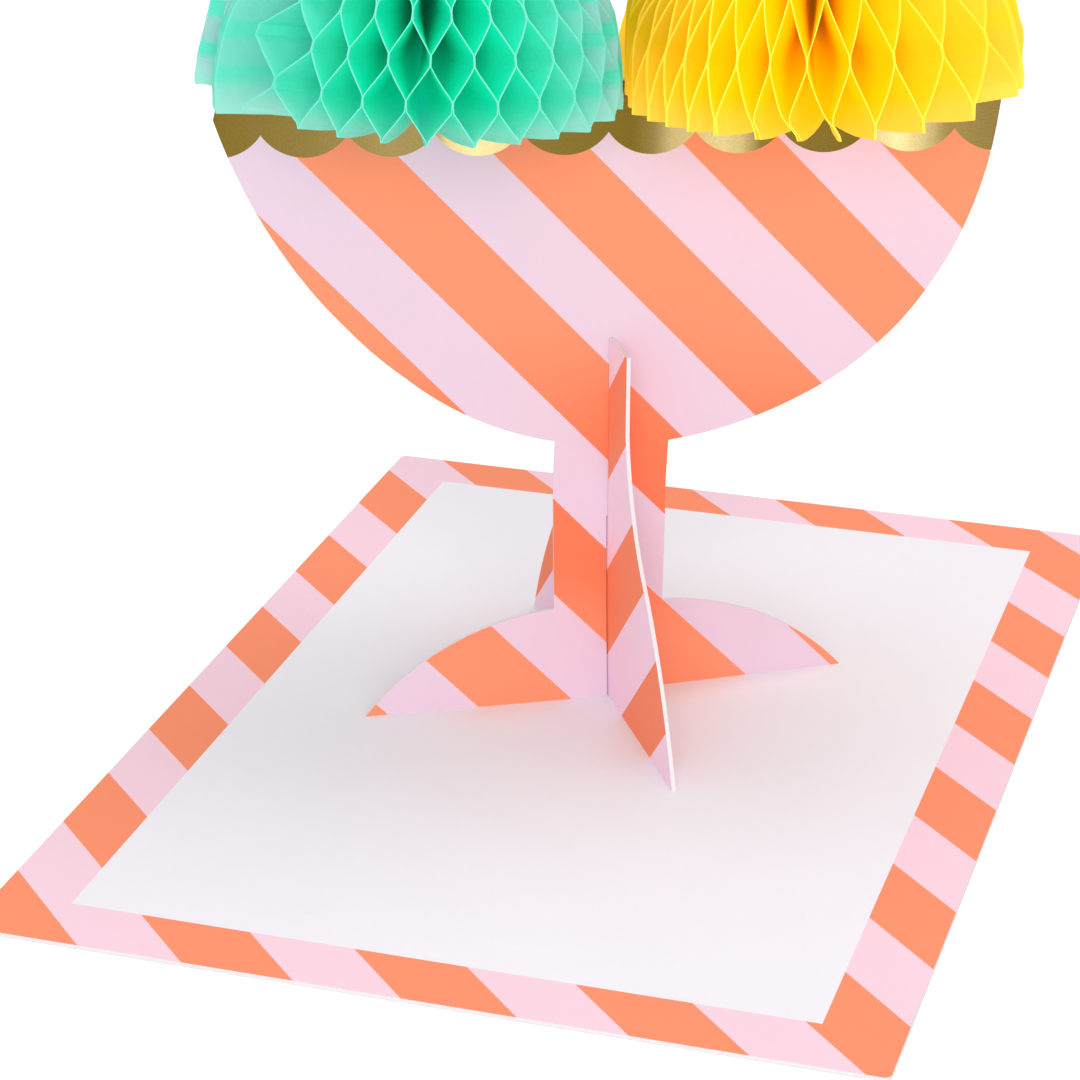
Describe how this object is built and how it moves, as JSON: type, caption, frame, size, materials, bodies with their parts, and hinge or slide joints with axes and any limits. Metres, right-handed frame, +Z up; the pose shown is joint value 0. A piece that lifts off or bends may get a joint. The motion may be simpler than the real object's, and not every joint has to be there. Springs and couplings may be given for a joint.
{
  "type": "birthday card",
  "caption": "Stand-up greeting card: a slotted board ice-cream sundae with honeycomb tissue scoops, standing on a flat striped card.",
  "frame": {"origin": "centre of the card's underside", "axes": "+X along the card's short side, +Y along its long side away from the reader, +Z up"},
  "size_m": [0.127, 0.1778, 0.127],
  "materials": {
    "card_board": "matt white board with a printed coral and pink striped border",
    "sundae_board": "matt board printed in coral and pink stripes, with a gold foil scalloped rim",
    "mint_tissue": "thin matt mint tissue",
    "yellow_tissue": "thin matt yellow tissue"
  },
  "bodies": {
    "root": {"base_card": "card_board", "sundae_panel": "sundae_board", "cross_stand": "sundae_board", "mint_scoop_front": "mint_tissue", "mint_scoop_back": "mint_tissue", "yellow_scoop_front": "yellow_tissue", "yellow_scoop_back": "yellow_tissue"}
  },
  "joints": []
}
